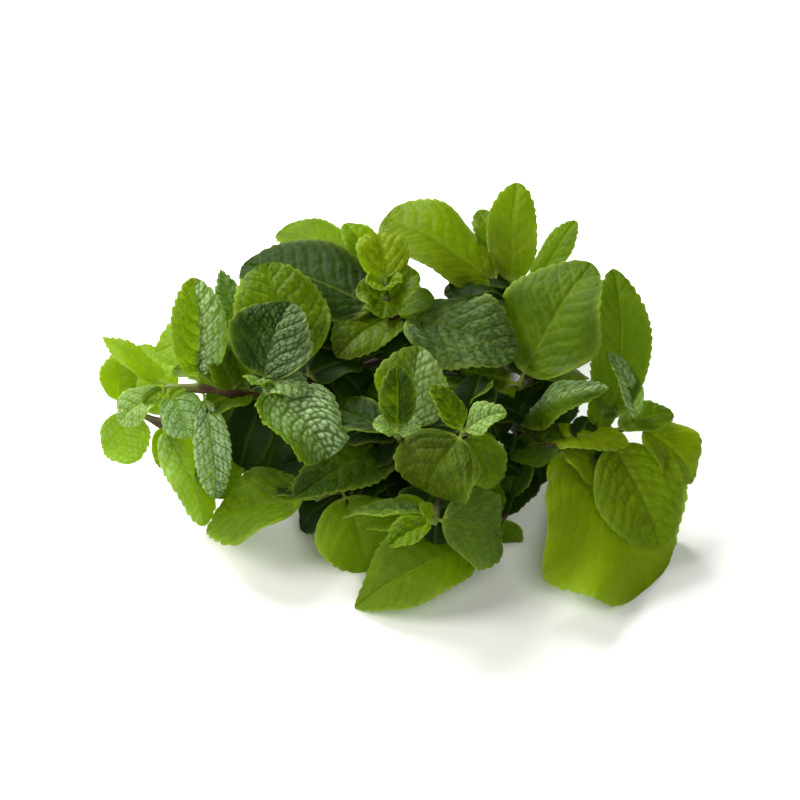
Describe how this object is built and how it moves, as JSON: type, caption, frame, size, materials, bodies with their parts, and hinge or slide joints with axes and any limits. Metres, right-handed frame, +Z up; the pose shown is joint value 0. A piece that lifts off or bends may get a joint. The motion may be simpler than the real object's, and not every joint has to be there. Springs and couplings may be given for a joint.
{
  "type": "mint sprig bunch",
  "caption": "A loose bunch of leafy mint sprigs lying on a table, cut stems together at the back, toothed leaves in pairs and small leaves at the tips",
  "frame": {"origin": "middle of the bunch's footprint, on the surface that it lies on", "axes": "+X to the right of the bunch seen from its leafy front, +Y towards the cut ends at the back, +Z up"},
  "size_m": [0.2214, 0.1682, 0.0975],
  "materials": {
    "mint": "matte leaf with a soft sheen; the stems are reddish brown"
  },
  "bodies": {
    "root": {"back_stem": "mint", "centre_left_stem": "mint", "centre_right_stem": "mint", "front_left_stem": "mint", "front_low_stem": "mint", "front_stem": "mint", "left_back_stem": "mint", "left_broad_stem": "mint", "left_front_stem": "mint", "left_low_stem": "mint", "right_back_stem": "mint", "right_stem": "mint", "top_back_stem": "mint", "top_stem": "mint"}
  },
  "joints": []
}
